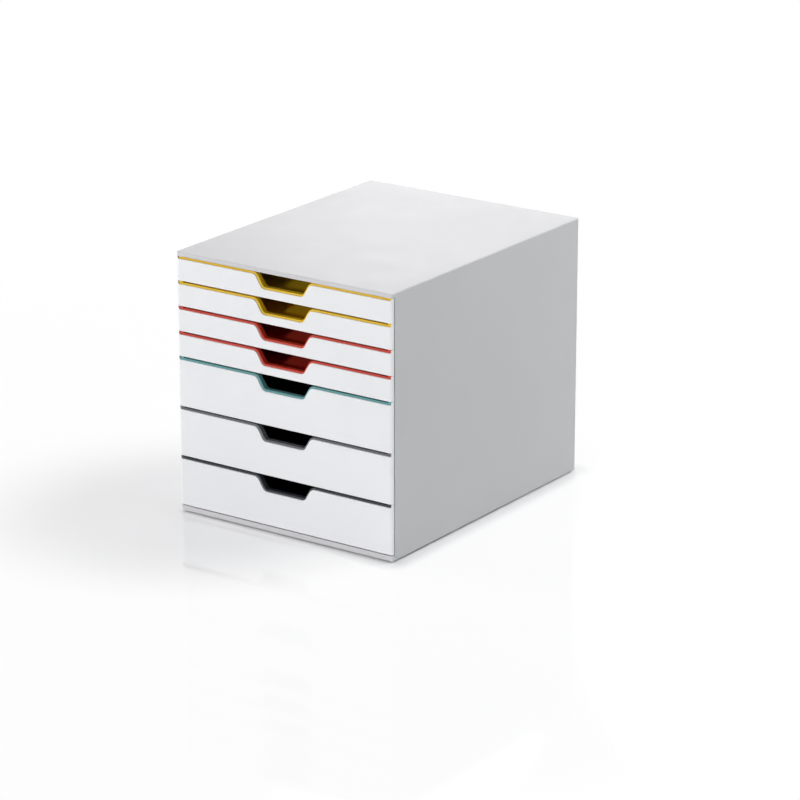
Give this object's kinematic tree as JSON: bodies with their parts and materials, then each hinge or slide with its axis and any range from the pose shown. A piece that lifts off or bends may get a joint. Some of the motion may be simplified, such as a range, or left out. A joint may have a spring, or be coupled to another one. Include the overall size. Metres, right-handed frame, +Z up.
{
  "type": "desktop drawer tower",
  "caption": "Desktop drawer tower: a plastic housing with shallow and deep pull-out trays, white fronts with finger cut-outs and coloured inner trays on side runners.",
  "frame": {"origin": "middle of the footprint, on the surface that the feet stand on", "axes": "+Z up, +Y to the back, drawer fronts face -Y, +X to the right as seen from the front"},
  "size_m": [0.28, 0.356, 0.292],
  "materials": {
    "housing_grey": "light grey injection-moulded plastic with a fine matt texture",
    "front_white": "smooth white plastic with a soft sheen",
    "tray_yellow": "smooth yellow plastic, slightly translucent",
    "tray_red": "smooth red plastic",
    "tray_teal": "smooth blue-green plastic",
    "tray_grey": "smooth dark grey plastic",
    "tray_black": "smooth anthracite plastic",
    "rubber_feet": "dark matt rubber pad"
  },
  "bodies": {
    "housing": {"housing_shell": "housing_grey", "rear_panel": "housing_grey", "left_runner_frame": "housing_grey", "right_runner_frame": "housing_grey", "foot_front_left": "rubber_feet", "foot_front_right": "rubber_feet", "foot_rear_left": "rubber_feet", "foot_rear_right": "rubber_feet"},
    "drawer_1": {"tray_1": "tray_yellow", "front_panel_1": "front_white"},
    "drawer_2": {"tray_2": "tray_yellow", "front_panel_2": "front_white"},
    "drawer_3": {"tray_3": "tray_red", "front_panel_3": "front_white"},
    "drawer_4": {"tray_4": "tray_red", "front_panel_4": "front_white"},
    "drawer_5": {"tray_5": "tray_teal", "front_panel_5": "front_white"},
    "drawer_6": {"tray_6": "tray_grey", "front_panel_6": "front_white"},
    "drawer_7": {"tray_7": "tray_black", "front_panel_7": "front_white"}
  },
  "joints": [
    {"name": "drawer_1_slide", "type": "slide", "parent": "housing", "child": "drawer_1", "axis": [0, -1, 0], "range_m": [0, 0.255]},
    {"name": "drawer_2_slide", "type": "slide", "parent": "housing", "child": "drawer_2", "axis": [0, -1, 0], "range_m": [0, 0.255]},
    {"name": "drawer_3_slide", "type": "slide", "parent": "housing", "child": "drawer_3", "axis": [0, -1, 0], "range_m": [0, 0.255]},
    {"name": "drawer_4_slide", "type": "slide", "parent": "housing", "child": "drawer_4", "axis": [0, -1, 0], "range_m": [0, 0.255]},
    {"name": "drawer_5_slide", "type": "slide", "parent": "housing", "child": "drawer_5", "axis": [0, -1, 0], "range_m": [0, 0.255]},
    {"name": "drawer_6_slide", "type": "slide", "parent": "housing", "child": "drawer_6", "axis": [0, -1, 0], "range_m": [0, 0.255]},
    {"name": "drawer_7_slide", "type": "slide", "parent": "housing", "child": "drawer_7", "axis": [0, -1, 0], "range_m": [0, 0.255]}
  ]
}
